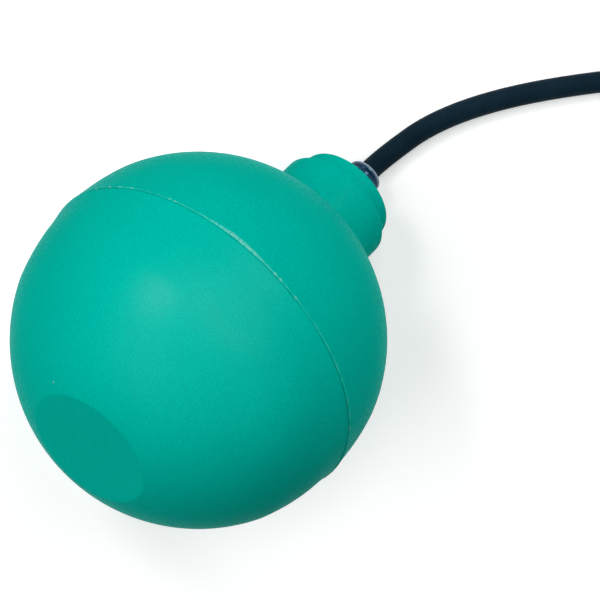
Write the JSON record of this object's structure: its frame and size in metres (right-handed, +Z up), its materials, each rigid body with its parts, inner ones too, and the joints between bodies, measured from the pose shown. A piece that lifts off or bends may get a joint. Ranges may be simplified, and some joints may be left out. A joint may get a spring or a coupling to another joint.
{
  "type": "cable float switch",
  "caption": "Level switch in a round welded plastic float with a short capped neck, a soft cable bushing and a flexible lead, and a rolling ball that works a snap switch inside.",
  "frame": {"origin": "on the surface that the float lies on, under the middle of the float without its free cable", "axes": "+Z up; +X level, the way the neck and the cable point; the float's own axis dips 36.2 degrees below +X"},
  "size_m": [0.305, 0.1268, 0.098],
  "materials": {
    "float_green": "fine matte moulded, green",
    "bushing_rubber": "glossy, almost black",
    "seal_rubber": "matte black",
    "washer_brass": "turned",
    "gland_plastic": "matte black",
    "crimp_steel": "plain",
    "cable_jacket": "matte, almost black",
    "tie_plastic": "matte black",
    "capsule_plastic": "natural white",
    "race_plastic": "natural white",
    "ball_steel": "ground and polished",
    "switch_black": "matte black",
    "switch_cover": "matte dark grey",
    "plunger_red": "red",
    "lever_steel": "spring steel",
    "screw_steel": "plated",
    "terminal_brass": "tinned",
    "core_brown": "brown",
    "core_blue": "blue",
    "core_black": "black",
    "ferrule_metal": "tinned"
  },
  "bodies": {
    "root": {"ball_race": "race_plastic", "cable_bushing": "bushing_rubber", "cable_coil": "cable_jacket", "cable_entry": "cable_jacket", "cable_run": "cable_jacket", "cable_tail": "cable_jacket", "capsule_lid": "capsule_plastic", "capsule_plug": "seal_rubber", "capsule_tube": "capsule_plastic", "clamp_washer": "washer_brass", "coil_ties": "tie_plastic", "cord_grip": "crimp_steel", "core_ferrules": "ferrule_metal", "front_shell": "float_green", "gland_nut": "gland_plastic", "lead_black": "core_black", "lead_blue": "core_blue", "lead_brown": "core_brown", "lever_pin": "lever_steel", "neck_cap": "float_green", "neck_seal": "seal_rubber", "rear_shell": "float_green", "switch_case": "switch_black", "switch_cover": "switch_cover", "switch_screws": "screw_steel", "terminal_closed": "terminal_brass", "terminal_common": "terminal_brass", "terminal_open": "terminal_brass", "wire_black": "core_black", "wire_blue": "core_blue", "wire_brown": "core_brown"},
    "rolling_ball": {"steel_ball": "ball_steel"},
    "lever": {"switch_lever": "lever_steel"},
    "plunger": {"switch_plunger": "plunger_red"}
  },
  "joints": [
    {"name": "ball_roll", "type": "slide", "parent": "root", "child": "rolling_ball", "axis": [-0.8065, 0, 0.5912], "range_m": [0, 0.02135]},
    {"name": "lever_turn", "type": "hinge", "parent": "root", "child": "lever", "pos_m": [0.00189, 0, 0.03288], "axis": [0, -1, 0], "range_deg": [0, 8]},
    {"name": "plunger_press", "type": "slide", "parent": "root", "child": "plunger", "axis": [-0.8065, 0, 0.5912], "range_m": [0, 0.0006827]}
  ],
  "couplings": [
    {"joint": "lever_turn", "follows": "ball_roll", "rad_per_m": 6.539},
    {"joint": "plunger_press", "follows": "ball_roll", "ratio": 0.03197}
  ]
}
